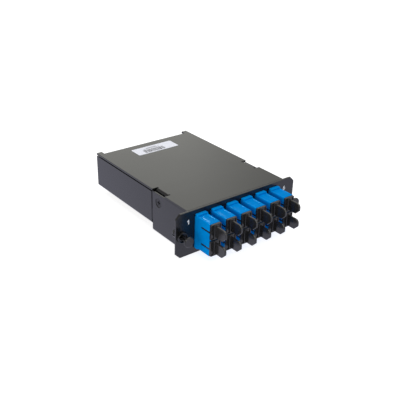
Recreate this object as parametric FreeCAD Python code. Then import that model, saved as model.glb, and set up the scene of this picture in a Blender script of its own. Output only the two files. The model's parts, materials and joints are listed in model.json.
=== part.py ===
import FreeCAD
import Part
import math
import os

# A fibre adapter panel: a latched faceplate carries duplex push-fit adapters, and the
# closed two-step housing behind it holds the fan-out to one multi-fibre adapter.
# Millimetres. +X runs along the faceplate, +Y from front to back, +Z up. The origin is
# the middle of the faceplate's back face, which seats on the rack's rails.

# Duplex adapters, stood on end in a row
ADAPTER_COUNT = 6
ADAPTER_T = 9.4
ADAPTER_GAP = 4.25
ADAPTER_FRONT = 15.7
ADAPTER_REAR = 12.5
ADAPTER_EDGE_R = 0.9
PORT_PITCH = 12.7
PORT_W = 7.4
PORT_H = 9.0
PORT_WALL = 1.65
RIM_L = 2.5
RIM_PROUD_X = 0.25
RIM_PROUD_Z = 1.2
RIM_R = 1.5
RIM_CHAMFER = 0.5
KEYWAY_W = 1.5
KEYWAY_L = 9.0
KEYWAY_R = 0.7
RECESS_W = 6.5
RECESS_L = 11.0
RECESS_R = 1.5
RECESS_DEPTH = 0.5
RECESS_SLOPE = 0.8
RECESS_CROWN = 0.35
SNAP_L = 2.6
SNAP_PROUD = 0.8
SNAP_W = 5.0

# Inserts held in the middle of the adapters: a web with barrels and sprung hooks
WEB_T = 2.4
INSERT_CLEAR = 0.05
HOOK_W = 2.4
HOOK_T = 0.8
HOOK_L = 7.0
HOOK_BARB = 0.5
HOOK_WALL_GAP = 0.35
BARREL_R = 2.3
BARREL_HALF_L = 6.6

# Ceramic alignment sleeves in the adapters' barrels
FERRULE_R = 1.25
SLEEVE_T = 0.35
SLEEVE_SLIT = 0.4
SLEEVE_CLEAR = 0.05
SLEEVE_END_GAP = 0.6

# Dust caps
CAP_W = 9.0
CAP_H = 11.7
CAP_T = 1.5
CAP_R = 1.0
CAP_RIM = 0.9
CAP_RECESS = 0.6
CAP_RIB_W = 3.4
CAP_RIB_PROUD = 0.4
CAP_INSERT_L = 5.0
CAP_INSERT_T = 0.8
CAP_CLEAR = 0.1
FIN_T = 1.7
FIN_H = 8.7
FIN_L = 10.6
FIN_TOP_R = 3.0
FIN_FOOT_CHAMFER = 3.4

# Faceplate
PLATE_T = 1.6
PLATE_BORDER = 4.5
PLATE_CHAMFER = 3.5
WINDOW_CLEAR = 0.1

# Folded housing
SHEET_T = 1.2
BEND_R = 0.5
SIDE_MARGIN = 5.875
FRONT_DEPTH = 41.9
BODY_DEPTH = 122.0
REAR_H = 28.7
STEP_GAP = 1.0
WELD_FLANGE = 4.0
FLANGE_END_GAP = 2.0
TRAY_TOP_GAP = 0.9
TRAY_LAP = 4.0
SIDE_LAP = 8.0
SIDE_LAP_H = 9.0
REAR_RECESS = 4.4

# Lid with two bent screw tabs
LID_T = 1.5
LID_FRONT_GAP = 0.2
EAR_W = 4.7
NOTCH_L = 15.6
RELIEF_W = 1.2
RELIEF_PAST_BEND = 0.5
TAB_INSET = 2.5
TAB_BEND_R = 0.4
TAB_BELOW_SCREW = 4.0

# Countersunk side screws
SCREW_R = 1.75
SCREW_HEAD_R = 3.4
SCREW_DROP = 8.35
SCREW_TIP_L = 3.0
SCREW_CLEAR = 0.08
DIMPLE_R = 3.8
DIMPLE_SEAT_R = 3.2
CROSS_L = 3.4
CROSS_W = 0.8
CROSS_DEPTH = 1.2

# Push-pull latches at the faceplate's ends
LATCH_OUT = 5.3
LATCH_EDGE = 5.0
LATCH_DROP = 0.8
GROMMET_FLANGE_R = 4.1
GROMMET_FLANGE_T = 1.8
GROMMET_DISH_R = 3.3
GROMMET_DISH_DEPTH = 1.2
GROMMET_NECK_R = 2.8
GROMMET_CLEAR = 0.1
GROMMET_END_PLAY = 0.2
GROMMET_LEG_R = 3.0
GROMMET_LEG_L = 6.6
GROMMET_TIP_L = 1.6
GROMMET_SLOT_W = 0.7
STEM_R = 1.9
STEM_CLEAR = 0.08
STEM_TIP_L = 1.0
STEM_TAIL = 4.5
STEM_RIB_T = 1.0
LATCH_TRAVEL = 5.6
KNOB_R = 3.9
KNOB_T = 1.6
KNOB_CHAMFER = 0.4

# Multi-fibre adapter in the rear wall
MULTI_W = 12.6
MULTI_H = 9.2
MULTI_OUT_L = 10.0
MULTI_IN_L = 9.0
MULTI_FLANGE_W = 23.0
MULTI_FLANGE_T = 2.0
MULTI_FLANGE_R = 1.4
MULTI_PORT_W = 10.2
MULTI_PORT_H = 6.8
MULTI_WEB_T = 1.6
MULTI_SLOT_W = 6.6
MULTI_SLOT_H = 2.6
MULTI_SCREW_SPACING = 17.8
MULTI_SCREW_R = 1.0
MULTI_HEAD_R = 1.9
MULTI_HEAD_T = 1.2
MULTI_HEAD_SLOT = 0.6
MULTI_CLEAR = 0.1
MULTI_CAP_T = 1.4
MULTI_CAP_INSERT_L = 5.5
MULTI_CAP_GRIP_L = 4.0
MULTI_CAP_GRIP_T = 1.6

# Inside: plugs, fibres and the fan-out
PLUG_CLEAR = 0.1
PLUG_BODY_L = 19.0
PLUG_HOOK_GAP = 0.4
BOOT_R = 1.9
BOOT_L = 14.0
FERRULE_CLEAR = 0.01
FIBRE_R = 0.45
FIBRE_SPREAD = 1.6
FIBRE_ROWS = 1.8
FIBRE_SIDES = 6
FIBRE_LEAD = 1.5
BLOCK_L = 9.0
BLOCK_WALL = 1.4
RIBBON_W = 3.6
RIBBON_H = 1.2
RIBBON_L = 2.0
MULTI_PLUG_L = 20.0
MULTI_BOOT_L = 8.0
MULTI_BOOT_R = 2.8

# Label on the lid
LABEL_W = 38.5
LABEL_L = 12.8
LABEL_T = 0.1
LABEL_R = 1.0
LABEL_INSET = 7.1

# Sizes that follow from the ones above
OVERCUT = 1.0
PITCH = ADAPTER_T + ADAPTER_GAP
ADAPTER_H = PORT_PITCH + PORT_H + 2 * PORT_WALL
BODY_W = (ADAPTER_COUNT - 1) * PITCH + ADAPTER_T + 2 * SIDE_MARGIN
LATCH_SPACING = BODY_W + 2 * LATCH_OUT
PLATE_W = LATCH_SPACING + 2 * LATCH_EDGE
PLATE_H = ADAPTER_H + 2 * PLATE_BORDER
HALF_W = BODY_W / 2
INNER_W = HALF_W - SHEET_T
BEND_OUT = BEND_R + SHEET_T
FLOOR_W = HALF_W - BEND_OUT
TOP = PLATE_H / 2
LID_UNDER = TOP - LID_T
FRONT_FLOOR = -PLATE_H / 2
TRAY_FLOOR = TOP - REAR_H
TRAY_START = FRONT_DEPTH + STEP_GAP
REAR_WALL = BODY_DEPTH - REAR_RECESS
MOUTH = -PLATE_T - ADAPTER_FRONT
WEB_MID = (MOUTH + ADAPTER_REAR) / 2
SLEEVE_R = FERRULE_R + SLEEVE_T
SLEEVE_HALF_L = BARREL_HALF_L - SLEEVE_END_GAP
HOOK_TIP = WEB_T / 2 + HOOK_L
NOTCH_FRONT = FRONT_DEPTH - NOTCH_L
TAB_FACE = HALF_W - TAB_INSET
TAB_BEND_OUT = TAB_BEND_R + LID_T
TAB_BEND_LINE = TAB_FACE - TAB_BEND_OUT
SCREW_Y = (NOTCH_FRONT + FRONT_DEPTH) / 2
SCREW_Z = TOP - SCREW_DROP
PLUG_FRONT = WEB_MID + HOOK_TIP + PLUG_HOOK_GAP
PLUG_BACK = PLUG_FRONT + PLUG_BODY_L
BOOT_END = PLUG_BACK + BOOT_L
MULTI_INNER_END = REAR_WALL - SHEET_T - MULTI_IN_L
MULTI_OUTER_END = REAR_WALL + MULTI_OUT_L
MULTI_MID = (MULTI_INNER_END + MULTI_OUTER_END) / 2
MULTI_PLUG_TIP = MULTI_MID - MULTI_WEB_T / 2
MULTI_PLUG_BACK = MULTI_PLUG_TIP - MULTI_PLUG_L
MULTI_BOOT_END = MULTI_PLUG_BACK - MULTI_BOOT_L
BLOCK_BACK = MULTI_BOOT_END - RIBBON_L
BLOCK_FRONT = BLOCK_BACK - BLOCK_L

SIDES = (-1, 1)
NORMALS = {
    "xy": FreeCAD.Vector(0, 0, 1),
    "xz": FreeCAD.Vector(0, 1, 0),
    "yz": FreeCAD.Vector(1, 0, 0),
}


def on_plane(plane, u, v, height):
    """Return the point (u, v) of a plane at a height along its normal."""
    if plane == "xy":
        return FreeCAD.Vector(u, v, height)
    if plane == "xz":
        return FreeCAD.Vector(u, height, v)
    return FreeCAD.Vector(height, u, v)


def outline(corners, plane, height=0.0):
    """Return a closed wire through corners (u, v) or (u, v, rounding radius)."""
    points = [on_plane(plane, corner[0], corner[1], height) for corner in corners]
    radii = [corner[2] if len(corner) > 2 else 0.0 for corner in corners]
    stretches = []
    for index, point in enumerate(points):
        back = (points[index - 1] - point).normalize()
        ahead = (points[(index + 1) % len(points)] - point).normalize()
        if radii[index] == 0.0:
            stretches.append((point, None, point))
            continue
        half = back.getAngle(ahead) / 2
        reach = radii[index] / math.tan(half)
        centre = point + (back + ahead).normalize() * (radii[index] / math.sin(half))
        middle = centre + (point - centre).normalize() * radii[index]
        stretches.append((point + back * reach, middle, point + ahead * reach))
    edges = []
    for index, (enter, middle, leave) in enumerate(stretches):
        if middle is not None:
            edges.append(Part.Arc(enter, middle, leave).toShape())
        following = stretches[(index + 1) % len(stretches)][0]
        if leave.distanceToPoint(following) > 1e-6:
            edges.append(Part.LineSegment(leave, following).toShape())
    return Part.Wire(edges)


def prism(corners, plane, start, end):
    """Extrude an outline along its plane's normal from start to end."""
    return Part.Face(outline(corners, plane, start)).extrude(NORMALS[plane] * (end - start))


def rectangle(centre_u, centre_v, width, height, radius=0.0):
    """Return the corners of a rectangle, rounded by radius."""
    return [
        (centre_u + side_u * width / 2, centre_v + side_v * height / 2, radius)
        for side_u, side_v in ((-1, -1), (1, -1), (1, 1), (-1, 1))
    ]


def box(x_span, y_span, z_span):
    """Return a box between two values on each axis."""
    corner = FreeCAD.Vector(x_span[0], y_span[0], z_span[0])
    return Part.makeBox(x_span[1] - x_span[0], y_span[1] - y_span[0], z_span[1] - z_span[0], corner)


def rod(radius, x, z, y_start, y_end):
    """Return a cylinder along Y."""
    return Part.makeCylinder(radius, y_end - y_start, FreeCAD.Vector(x, y_start, z), NORMALS["xz"])


def turned(corners, x=0.0, z=0.0):
    """Revolve corners (radius, y) about the Y line through (x, z)."""
    shape = Part.Face(outline(corners, "xy")).revolve(FreeCAD.Vector(0, 0, 0), NORMALS["xz"], 360)
    return moved(shape, x, 0, z)


def moved(shape, x, y, z):
    """Return a copy of a shape moved by (x, y, z)."""
    copy = shape.copy()
    copy.translate(FreeCAD.Vector(x, y, z))
    return copy


def mirrored(shape):
    """Return a copy of a shape on the other side of the middle plane."""
    return shape.mirror(FreeCAD.Vector(0, 0, 0), NORMALS["yz"])


def fused(shapes):
    """Join shapes into one clean solid."""
    return shapes[0].multiFuse(shapes[1:]).removeSplitter()


def adapter_places():
    """Return the adapters' X positions from left to right."""
    return [(index - (ADAPTER_COUNT - 1) / 2) * PITCH for index in range(ADAPTER_COUNT)]


def port_places():
    """Return the ports' (x, z) positions: each adapter's upper port, then its lower one."""
    return [(x, side * PORT_PITCH / 2) for x in adapter_places() for side in (1, -1)]


def faceplate():
    """Flat plate with chamfered corners, adapter windows and two latch holes."""
    half_w = PLATE_W / 2
    half_h = PLATE_H / 2
    corners = []
    for side_x, side_z in ((-1, -1), (1, -1), (1, 1), (-1, 1)):
        by_side = (side_x * half_w, side_z * (half_h - PLATE_CHAMFER))
        by_end = (side_x * (half_w - PLATE_CHAMFER), side_z * half_h)
        corners += [by_side, by_end] if side_x * side_z > 0 else [by_end, by_side]
    plate = prism(corners, "xz", -PLATE_T, 0)
    window = (ADAPTER_T + 2 * WINDOW_CLEAR, ADAPTER_H + 2 * WINDOW_CLEAR)
    cuts = [
        prism(rectangle(x, 0, *window), "xz", -PLATE_T - OVERCUT, OVERCUT) for x in adapter_places()
    ]
    for side in SIDES:
        hole_r = GROMMET_NECK_R + GROMMET_CLEAR
        cuts.append(rod(hole_r, side * LATCH_SPACING / 2, -LATCH_DROP, -PLATE_T - OVERCUT, OVERCUT))
    return plate.cut(cuts)


def folded_side(floor, wall_top, start, end):
    """Right-hand wall with its bend into a floor, from start to end along Y."""
    corners = [
        (FLOOR_W, floor),
        (HALF_W, floor, BEND_OUT),
        (HALF_W, wall_top),
        (INNER_W, wall_top),
        (INNER_W, floor + SHEET_T, BEND_R),
        (FLOOR_W, floor + SHEET_T),
    ]
    return prism(corners, "xz", start, end)


def folded_floor(floor, start, back, back_top):
    """Floor sheet that bends up into an upright at its back end."""
    corners = [
        (start, floor),
        (back, floor, BEND_OUT),
        (back, back_top),
        (back - SHEET_T, back_top),
        (back - SHEET_T, floor + SHEET_T, BEND_R),
        (start, floor + SHEET_T),
    ]
    return prism(corners, "yz", -FLOOR_W, FLOOR_W)


def dimple():
    """Pressed seat of the right-hand screw: (added boss, countersunk hole)."""
    boss_depth = INNER_W - TAB_FACE
    axis = FreeCAD.Vector(-1, 0, 0)
    seat = FreeCAD.Vector(INNER_W, SCREW_Y, SCREW_Z)
    boss = Part.makeCone(DIMPLE_R + SHEET_T / 2, DIMPLE_SEAT_R, boss_depth, seat, axis)
    hole_r = SCREW_R + SCREW_CLEAR
    mouth = FreeCAD.Vector(HALF_W, SCREW_Y, SCREW_Z)
    sink = Part.makeCone(DIMPLE_R, hole_r, DIMPLE_R - hole_r, mouth, axis)
    hole = Part.makeCylinder(hole_r, TAB_INSET + OVERCUT, mouth, axis)
    return boss, sink.fuse(hole)


def front_housing():
    """Full-height front of the housing: floor, two walls, weld flanges and a rear riser."""
    wall = folded_side(FRONT_FLOOR, LID_UNDER, 0, FRONT_DEPTH)
    flange_z = (FRONT_FLOOR + SHEET_T + FLANGE_END_GAP, LID_UNDER - FLANGE_END_GAP)
    flange = box((INNER_W - WELD_FLANGE, INNER_W), (0, SHEET_T), flange_z)
    boss, hole = dimple()
    wall = fused([wall, flange, boss]).cut(hole)
    floor = folded_floor(FRONT_FLOOR, 0, FRONT_DEPTH, TRAY_FLOOR)
    return fused([floor, wall, mirrored(wall)])


def side_lap():
    """Joggled tongue of the tray's right wall that laps inside the front wall."""
    inside = INNER_W - SHEET_T
    corners = [
        (INNER_W, FRONT_DEPTH - SIDE_LAP),
        (INNER_W, FRONT_DEPTH + STEP_GAP / 4),
        (HALF_W, TRAY_START + STEP_GAP / 4),
        (HALF_W, TRAY_START + 2 * SHEET_T),
        (INNER_W, TRAY_START + 2 * SHEET_T),
        (inside, TRAY_START + SHEET_T),
        (inside, FRONT_DEPTH - SIDE_LAP),
    ]
    low = TRAY_FLOOR + SHEET_T + FLANGE_END_GAP
    return prism(corners, "xy", low, low + SIDE_LAP_H)


def rear_tray():
    """Shallow rear of the housing: floor, two walls and an inset rear wall with one window."""
    wall = folded_side(TRAY_FLOOR, LID_UNDER - TRAY_TOP_GAP, TRAY_START, BODY_DEPTH)
    wall = fused([wall, side_lap()])
    floor = folded_floor(TRAY_FLOOR, FRONT_DEPTH - SHEET_T - TRAY_LAP, REAR_WALL, LID_UNDER)
    tray = fused([floor, wall, mirrored(wall)])
    window = rectangle(0, 0, MULTI_W + 2 * MULTI_CLEAR, MULTI_H + 2 * MULTI_CLEAR)
    span = (REAR_WALL - SHEET_T - OVERCUT, REAR_WALL + OVERCUT)
    cuts = [prism(window, "xz", *span)]
    for side in SIDES:
        cuts.append(rod(MULTI_SCREW_R, side * MULTI_SCREW_SPACING / 2, 0, *span))
    return tray.cut(cuts)


def lid():
    """Flat lid with rear corner ears and, in each side notch, a screw tab bent down."""
    relief = TAB_BEND_LINE - RELIEF_PAST_BEND
    half = [
        (HALF_W, LID_FRONT_GAP),
        (HALF_W, NOTCH_FRONT),
        (relief, NOTCH_FRONT),
        (relief, NOTCH_FRONT + RELIEF_W),
        (TAB_BEND_LINE, NOTCH_FRONT + RELIEF_W),
        (TAB_BEND_LINE, FRONT_DEPTH - RELIEF_W),
        (relief, FRONT_DEPTH - RELIEF_W),
        (relief, FRONT_DEPTH),
        (HALF_W, FRONT_DEPTH),
        (HALF_W, BODY_DEPTH),
        (HALF_W - EAR_W, BODY_DEPTH),
        (HALF_W - EAR_W, REAR_WALL),
    ]
    sheet = prism(half + [(-x, y) for x, y in reversed(half)], "xy", LID_UNDER, TOP)
    tab_end = SCREW_Z - TAB_BELOW_SCREW
    tab_corners = [
        (TAB_BEND_LINE, TOP),
        (TAB_FACE, TOP, TAB_BEND_OUT),
        (TAB_FACE, tab_end),
        (TAB_FACE - LID_T, tab_end),
        (TAB_FACE - LID_T, LID_UNDER, TAB_BEND_R),
        (TAB_BEND_LINE, LID_UNDER),
    ]
    tab = prism(tab_corners, "xz", NOTCH_FRONT + RELIEF_W, FRONT_DEPTH - RELIEF_W)
    start = FreeCAD.Vector(TAB_FACE - LID_T - OVERCUT, SCREW_Y, SCREW_Z)
    tab = tab.cut(Part.makeCylinder(SCREW_R + SCREW_CLEAR, LID_T + 2 * OVERCUT, start, NORMALS["yz"]))
    return fused([sheet, tab, mirrored(tab)])


def side_screw():
    """Right-hand countersunk screw with a cross recess."""
    head_l = SCREW_HEAD_R - SCREW_R
    shank_end = TAB_INSET + LID_T + SCREW_TIP_L
    corners = [
        (0, 0),
        (SCREW_HEAD_R, 0),
        (SCREW_R, head_l),
        (SCREW_R, shank_end - SCREW_R / 2),
        (SCREW_R / 2, shank_end),
        (0, shank_end),
    ]
    screw = turned(corners)
    arm = (-CROSS_L / 2, CROSS_L / 2)
    width = (-CROSS_W / 2, CROSS_W / 2)
    deep = (-OVERCUT, CROSS_DEPTH)
    screw = screw.cut([box(arm, deep, width), box(width, deep, arm)])
    screw.rotate(FreeCAD.Vector(0, 0, 0), NORMALS["xy"], 90)
    flush = HALF_W - (DIMPLE_R - SCREW_HEAD_R)
    return moved(screw, flush, SCREW_Y, SCREW_Z)


def label():
    """Thin blank label with rounded corners on the lid."""
    centre_y = REAR_WALL - LABEL_INSET - LABEL_L / 2
    return prism(rectangle(0, centre_y, LABEL_W, LABEL_L, LABEL_R), "xy", TOP, TOP + LABEL_T)


def latch_hooks(z):
    """Two sprung hooks of one port, from the web towards the front."""
    root = WEB_MID - WEB_T / 2
    tip = WEB_MID - HOOK_TIP
    hooks = []
    for side in SIDES:
        outer = z + side * (PORT_H / 2 - HOOK_WALL_GAP)
        inner = outer - side * HOOK_T
        corners = [
            (root, outer),
            (root, inner),
            (tip + 2 * HOOK_BARB, inner),
            (tip + HOOK_BARB, inner - side * HOOK_BARB),
            (tip, inner),
            (tip, outer),
        ]
        hooks.append(prism(corners, "yz", -HOOK_W / 2, HOOK_W / 2))
    return hooks


def adapter_recess(side):
    """Shallow recess in an adapter's top or bottom, from the rim forwards, with a crowned floor."""
    rear = -PLATE_T - RIM_L
    wires = []
    for rise in (-RECESS_DEPTH, RECESS_DEPTH):
        grow = RECESS_SLOPE * rise / RECESS_DEPTH
        half_w = RECESS_W / 2 + grow
        front = rear - RECESS_L - grow
        corners = [(-half_w, rear), (-half_w, front, RECESS_R), (half_w, front, RECESS_R), (half_w, rear)]
        wires.append(outline(corners, "xy", side * (ADAPTER_H / 2 + rise)))
    half_w = RECESS_W / 2
    crown_r = (half_w ** 2 + RECESS_CROWN ** 2) / (2 * RECESS_CROWN)
    crown_z = side * (ADAPTER_H / 2 - RECESS_DEPTH + RECESS_CROWN - crown_r)
    crown = rod(crown_r, 0, crown_z, rear - RECESS_L - OVERCUT, rear + OVERCUT)
    return Part.makeLoft(wires, True, True).cut(crown)


def rim_shoulders(side):
    """Fillets from an adapter's rim down to the two borders of its recess."""
    radius = RIM_PROUD_Z - RIM_CHAMFER
    top = side * ADAPTER_H / 2
    rear = -PLATE_T - RIM_L
    corners = [
        (-PLATE_T - RIM_L / 2, top + side * radius),
        (rear, top + side * radius),
        (rear, top, radius),
        (rear - 2 * radius, top),
        (rear - 2 * radius, top - side * radius),
        (-PLATE_T - RIM_L / 2, top - side * radius),
    ]
    shoulder = prism(corners, "yz", RECESS_W / 2, ADAPTER_T / 2 - ADAPTER_EDGE_R)
    return [shoulder, mirrored(shoulder)]


def keyway(z, mouth, end):
    """Slot for a plug's key in a port's left wall, with a rounded end."""
    low = z - KEYWAY_W / 2
    high = z + KEYWAY_W / 2
    corners = [(mouth, low), (end, low, KEYWAY_R), (end, high, KEYWAY_R), (mouth, high)]
    return prism(corners, "yz", -ADAPTER_T / 2 - OVERCUT, 0)


def sc_adapter():
    """Duplex adapter's shell on the middle line: keyed ports, rim, snaps and the insert's seat."""
    body = prism(rectangle(0, 0, ADAPTER_T, ADAPTER_H, ADAPTER_EDGE_R), "xz", MOUTH, ADAPTER_REAR)
    rim_size = (ADAPTER_T + 2 * RIM_PROUD_X, ADAPTER_H + 2 * RIM_PROUD_Z)
    rim = prism(rectangle(0, 0, *rim_size, RIM_R), "xz", -PLATE_T - RIM_L, -PLATE_T)
    front_edges = [edge for edge in rim.Edges if edge.BoundBox.YMax < -PLATE_T - RIM_L / 2]
    rim = rim.makeChamfer(RIM_CHAMFER, front_edges)
    half_h = ADAPTER_H / 2
    snaps = []
    recesses = []
    shoulders = []
    for side in SIDES:
        snap = [
            (0, side * (half_h - SNAP_PROUD)),
            (0, side * (half_h + SNAP_PROUD)),
            (SNAP_L, side * half_h),
            (SNAP_L, side * (half_h - SNAP_PROUD)),
        ]
        snaps.append(prism(snap, "yz", -SNAP_W / 2, SNAP_W / 2))
        recesses.append(adapter_recess(side))
        shoulders += rim_shoulders(side)
    body = fused([fused([body, rim] + snaps).cut(recesses)] + shoulders)
    seat = rectangle(0, 0, PORT_W, PORT_PITCH + PORT_H)
    cuts = [prism(seat, "xz", WEB_MID - WEB_T / 2, WEB_MID + WEB_T / 2)]
    for side in SIDES:
        z = side * PORT_PITCH / 2
        port = rectangle(0, z, PORT_W, PORT_H)
        cuts.append(prism(port, "xz", MOUTH - OVERCUT, ADAPTER_REAR + OVERCUT))
        cuts.append(keyway(z, MOUTH - OVERCUT, MOUTH + KEYWAY_L))
        cuts.append(keyway(z, ADAPTER_REAR + OVERCUT, ADAPTER_REAR - KEYWAY_L))
    return body.cut(cuts)


def adapter_insert():
    """Insert of one adapter, on the middle line: a web across both ports, barrels and hooks."""
    width = PORT_W - 2 * INSERT_CLEAR
    height = PORT_PITCH + PORT_H - 2 * INSERT_CLEAR
    web = prism(rectangle(0, 0, width, height), "xz", WEB_MID - WEB_T / 2, WEB_MID + WEB_T / 2)
    barrel = (WEB_MID - BARREL_HALF_L, WEB_MID + BARREL_HALF_L)
    added = []
    bores = []
    for side in SIDES:
        z = side * PORT_PITCH / 2
        bores.append(rod(SLEEVE_R + SLEEVE_CLEAR, 0, z, barrel[0] - OVERCUT, barrel[1] + OVERCUT))
        added.append(rod(BARREL_R, 0, z, *barrel))
        for hook in latch_hooks(z):
            twin = hook.mirror(FreeCAD.Vector(0, WEB_MID, 0), NORMALS["xz"])
            added += [hook, twin]
    return fused([web] + added).cut(bores)


def alignment_sleeve():
    """Slit sleeve of one port, on the middle line."""
    span = (WEB_MID - SLEEVE_HALF_L, WEB_MID + SLEEVE_HALF_L)
    tube = rod(SLEEVE_R, 0, 0, *span).cut(rod(FERRULE_R, 0, 0, *span))
    through = (span[0] - OVERCUT, span[1] + OVERCUT)
    return tube.cut(box((0, SLEEVE_R + OVERCUT), through, (-SLEEVE_SLIT / 2, SLEEVE_SLIT / 2)))


def dust_cap():
    """Cap of one port, on the middle line: rimmed face, ribbed fin and hollow insert."""
    face = MOUTH - CAP_T
    cap = prism(rectangle(0, 0, CAP_W, CAP_H, CAP_R), "xz", face, MOUTH)
    hollow = rectangle(0, 0, CAP_W - 2 * CAP_RIM, CAP_H - 2 * CAP_RIM)
    cap = cap.cut(prism(hollow, "xz", face - OVERCUT, face + CAP_RECESS))
    rib = prism(
        rectangle(0, 0, CAP_RIB_W, CAP_H - CAP_RIM), "xz", face - CAP_RIB_PROUD, face + CAP_RECESS
    )
    fin_corners = [
        (face, -FIN_H / 2),
        (face - FIN_L + FIN_FOOT_CHAMFER, -FIN_H / 2),
        (face - FIN_L, -FIN_H / 2 + FIN_FOOT_CHAMFER),
        (face - FIN_L, FIN_H / 2, FIN_TOP_R),
        (face, FIN_H / 2),
    ]
    fin = prism(fin_corners, "yz", -FIN_T / 2, FIN_T / 2)
    outer = (PORT_W - 2 * CAP_CLEAR, PORT_H - 2 * CAP_CLEAR)
    insert = prism(rectangle(0, 0, *outer), "xz", MOUTH, MOUTH + CAP_INSERT_L)
    inner = (outer[0] - 2 * CAP_INSERT_T, outer[1] - 2 * CAP_INSERT_T)
    insert = insert.cut(prism(rectangle(0, 0, *inner), "xz", MOUTH, MOUTH + CAP_INSERT_L + OVERCUT))
    return fused([cap, rib, fin, insert])


def grommet(x):
    """Split grommet of one latch: dished flange, neck through the plate and four wider legs."""
    bore_r = STEM_R + STEM_CLEAR
    face = -PLATE_T - GROMMET_FLANGE_T
    corners = [
        (bore_r, face + GROMMET_DISH_DEPTH),
        (GROMMET_DISH_R, face + GROMMET_DISH_DEPTH),
        (GROMMET_DISH_R, face),
        (GROMMET_FLANGE_R, face),
        (GROMMET_FLANGE_R, -PLATE_T),
        (GROMMET_NECK_R, -PLATE_T),
        (GROMMET_NECK_R, GROMMET_END_PLAY),
        (GROMMET_LEG_R, GROMMET_END_PLAY),
        (GROMMET_LEG_R, GROMMET_LEG_L - GROMMET_TIP_L),
        ((GROMMET_LEG_R + bore_r) / 2, GROMMET_LEG_L),
        (bore_r, GROMMET_LEG_L),
    ]
    body = turned(corners)
    reach = (-GROMMET_LEG_R - OVERCUT, GROMMET_LEG_R + OVERCUT)
    width = (-GROMMET_SLOT_W / 2, GROMMET_SLOT_W / 2)
    along = (-PLATE_T / 2, GROMMET_LEG_L + OVERCUT)
    slots = [box(reach, along, width), box(width, along, reach)]
    return moved(body.cut(slots), x, 0, -LATCH_DROP)


def plunger(x):
    """Push-pull plunger of one latch, drawn out by its travel: disc knob and cross-ribbed stem."""
    shoulder = -PLATE_T - GROMMET_FLANGE_T - LATCH_TRAVEL
    front = shoulder - KNOB_T
    tail = GROMMET_LEG_L - STEM_TAIL
    corners = [
        (0, front),
        (KNOB_R - KNOB_CHAMFER, front),
        (KNOB_R, front + KNOB_CHAMFER),
        (KNOB_R, shoulder),
        (STEM_R, shoulder),
        (STEM_R, tail - STEM_TIP_L),
        (STEM_R - STEM_TIP_L / 2, tail),
        (0, tail),
    ]
    channels = []
    for side_x in SIDES:
        for side_z in SIDES:
            near_x, far_x = sorted((side_x * STEM_RIB_T / 2, side_x * KNOB_R))
            near_z, far_z = sorted((side_z * STEM_RIB_T / 2, side_z * KNOB_R))
            channels.append(box((near_x, far_x), (shoulder, tail + OVERCUT), (near_z, far_z)))
    return moved(turned(corners).cut(channels), x, 0, -LATCH_DROP)


def multifibre_adapter():
    """Adapter in the rear wall: flange outside, one port each way, a slot for the ferrules."""
    body = prism(rectangle(0, 0, MULTI_W, MULTI_H), "xz", MULTI_INNER_END, MULTI_OUTER_END)
    flange = prism(
        rectangle(0, 0, MULTI_FLANGE_W, MULTI_H, MULTI_FLANGE_R), "xz", REAR_WALL, REAR_WALL + MULTI_FLANGE_T
    )
    port = rectangle(0, 0, MULTI_PORT_W, MULTI_PORT_H)
    web = (MULTI_MID - MULTI_WEB_T / 2, MULTI_MID + MULTI_WEB_T / 2)
    cuts = [
        prism(port, "xz", MULTI_INNER_END - OVERCUT, web[0]),
        prism(port, "xz", web[1], MULTI_OUTER_END + OVERCUT),
        prism(rectangle(0, 0, MULTI_SLOT_W, MULTI_SLOT_H), "xz", web[0] - OVERCUT, web[1] + OVERCUT),
    ]
    through = (REAR_WALL - OVERCUT, REAR_WALL + MULTI_FLANGE_T + OVERCUT)
    for side in SIDES:
        cuts.append(rod(MULTI_SCREW_R + MULTI_CLEAR, side * MULTI_SCREW_SPACING / 2, 0, *through))
    return fused([body, flange]).cut(cuts)


def multifibre_screw(x):
    """Pan-head screw that holds one end of the rear adapter's flange."""
    seat = REAR_WALL + MULTI_FLANGE_T
    tip = REAR_WALL - 2 * SHEET_T
    head = rod(MULTI_HEAD_R, x, 0, seat, seat + MULTI_HEAD_T)
    across = (x - MULTI_HEAD_R, x + MULTI_HEAD_R)
    deep = (seat + MULTI_HEAD_T / 2, seat + MULTI_HEAD_T + OVERCUT)
    head = head.cut(box(across, deep, (-MULTI_HEAD_SLOT / 2, MULTI_HEAD_SLOT / 2)))
    return fused([head, rod(MULTI_SCREW_R, x, 0, tip, seat)])


def multifibre_cap():
    """Cap on the rear adapter: face, finger grip and hollow insert."""
    face = prism(rectangle(0, 0, MULTI_W, MULTI_H), "xz", MULTI_OUTER_END, MULTI_OUTER_END + MULTI_CAP_T)
    back = MULTI_OUTER_END + MULTI_CAP_T
    grip = prism(
        rectangle(0, 0, MULTI_PORT_W - 2 * MULTI_CAP_T, MULTI_CAP_GRIP_T), "xz", back, back + MULTI_CAP_GRIP_L
    )
    outer = (MULTI_PORT_W - 2 * CAP_CLEAR, MULTI_PORT_H - 2 * CAP_CLEAR)
    inner = (outer[0] - 2 * CAP_INSERT_T, outer[1] - 2 * CAP_INSERT_T)
    tip = MULTI_OUTER_END - MULTI_CAP_INSERT_L
    insert = prism(rectangle(0, 0, *outer), "xz", tip, MULTI_OUTER_END)
    insert = insert.cut(prism(rectangle(0, 0, *inner), "xz", tip - OVERCUT, MULTI_OUTER_END))
    return fused([face, grip, insert])


def inner_plug():
    """Plug in one rear port, on the middle line: housing, ferrule and boot."""
    size = (PORT_W - 2 * PLUG_CLEAR, PORT_H - 2 * PLUG_CLEAR)
    housing = prism(rectangle(0, 0, *size), "xz", PLUG_FRONT, PLUG_BACK)
    ferrule = rod(FERRULE_R - FERRULE_CLEAR, 0, 0, WEB_MID, PLUG_FRONT)
    boot = rod(BOOT_R, 0, 0, PLUG_BACK, BOOT_END)
    return fused([housing, ferrule, boot])


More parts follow.
